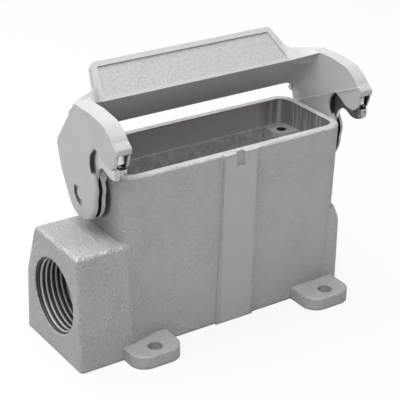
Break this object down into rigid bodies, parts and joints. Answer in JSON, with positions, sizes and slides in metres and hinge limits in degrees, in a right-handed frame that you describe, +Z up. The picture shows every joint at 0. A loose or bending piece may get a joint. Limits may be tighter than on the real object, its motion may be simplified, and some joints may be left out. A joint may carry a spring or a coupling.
{
  "type": "heavy duty rectangular connector",
  "caption": "Surface-mounting connector housing with a threaded side cable entry, an open cavity for a contact insert and a swing-over locking lever.",
  "frame": {"origin": "middle of the four mounting holes, on the base plane", "axes": "+X along the housing away from the cable entry, +Y to the back, +Z up towards the open rim"},
  "size_m": [0.1, 0.0504, 0.081],
  "materials": {
    "housing": "powder coat with fine orange peel, grey",
    "lever": "satin moulded, light grey",
    "latch_plate": "stamped stainless",
    "pivot_pin": "turned steel"
  },
  "bodies": {
    "housing": {"housing": "housing", "pivot_pin_left": "pivot_pin", "pivot_pin_right": "pivot_pin"},
    "lever": {"locking_lever": "lever", "latch_plate_left": "latch_plate", "latch_plate_right": "latch_plate"}
  },
  "joints": [
    {"name": "lever_hinge", "type": "hinge", "parent": "housing", "child": "lever", "pos_m": [0.001, 0, 0.0485], "axis": [-1, 0, 0], "range_deg": [0, 75]}
  ]
}
